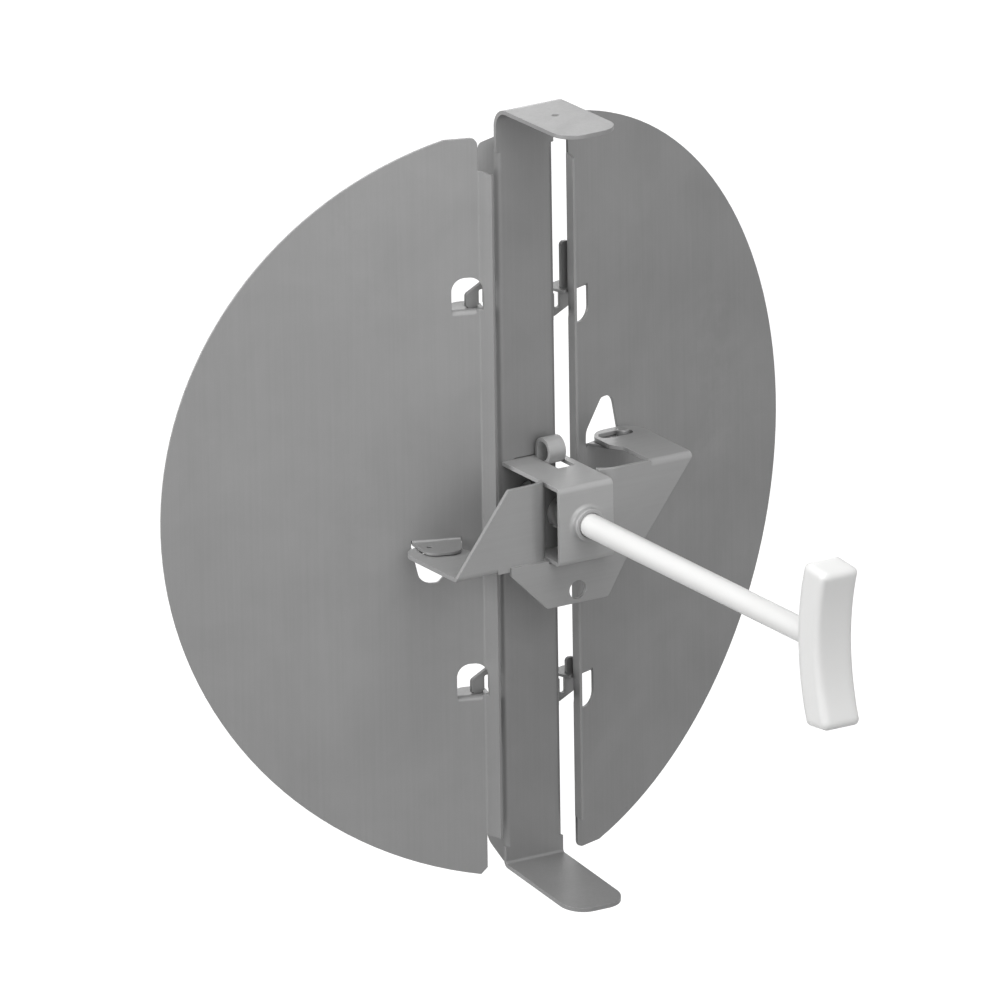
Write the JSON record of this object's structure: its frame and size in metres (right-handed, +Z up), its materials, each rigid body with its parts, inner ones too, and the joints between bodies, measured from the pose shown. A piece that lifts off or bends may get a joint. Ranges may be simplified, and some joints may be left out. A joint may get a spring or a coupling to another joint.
{
  "type": "butterfly damper",
  "caption": "Butterfly damper for a round diffuser neck: folded crossbar with end ears, hinged half-disc blades, a screw-driven yoke and a T-handle on a long rod.",
  "frame": {"origin": "on the operating rod's axis, in the plane of the crossbar's front face", "axes": "+Z up the crossbar along the hinge lines, -Y along the rod towards the handle, +X towards the right-hand blade"},
  "size_m": [0.1788, 0.1715, 0.2015],
  "materials": {
    "strap_steel": "satin zinc-coated sheet",
    "blade_steel": "satin zinc-coated sheet",
    "bracket_steel": "satin zinc-coated sheet",
    "arm_steel": "satin zinc-coated sheet",
    "white_plastic": "moulded satin"
  },
  "bodies": {
    "frame": {"crossbar": "strap_steel", "operator_bracket": "bracket_steel"},
    "left_blade": {"left_blade": "blade_steel"},
    "right_blade": {"right_blade": "blade_steel"},
    "drive_arm": {"drive_arm": "arm_steel"},
    "handle_screw": {"handle_screw": "white_plastic"}
  },
  "joints": [
    {"name": "left_hinge", "type": "hinge", "parent": "frame", "child": "left_blade", "pos_m": [-0.0135, 0.004, 0], "axis": [0, 0, -1], "range_deg": [-19.45, 55.55]},
    {"name": "right_hinge", "type": "hinge", "parent": "frame", "child": "right_blade", "pos_m": [0.0135, 0.004, 0], "axis": [0, 0, 1], "range_deg": [-19.5, 55.6]},
    {"name": "arm_slide", "type": "slide", "parent": "frame", "child": "drive_arm", "axis": [0, 1, 0], "range_m": [-0.00473, 0.0135]},
    {"name": "handle_turn", "type": "hinge", "parent": "frame", "child": "handle_screw", "pos_m": [0, 0, 0], "axis": [0, -1, 0], "range_deg": [-142, 405]}
  ],
  "couplings": [
    {"joint": "right_hinge", "follows": "left_hinge", "ratio": 1},
    {"joint": "arm_slide", "follows": "left_hinge", "m_per_rad": 0.0139},
    {"joint": "handle_turn", "follows": "left_hinge", "ratio": 7.278}
  ]
}
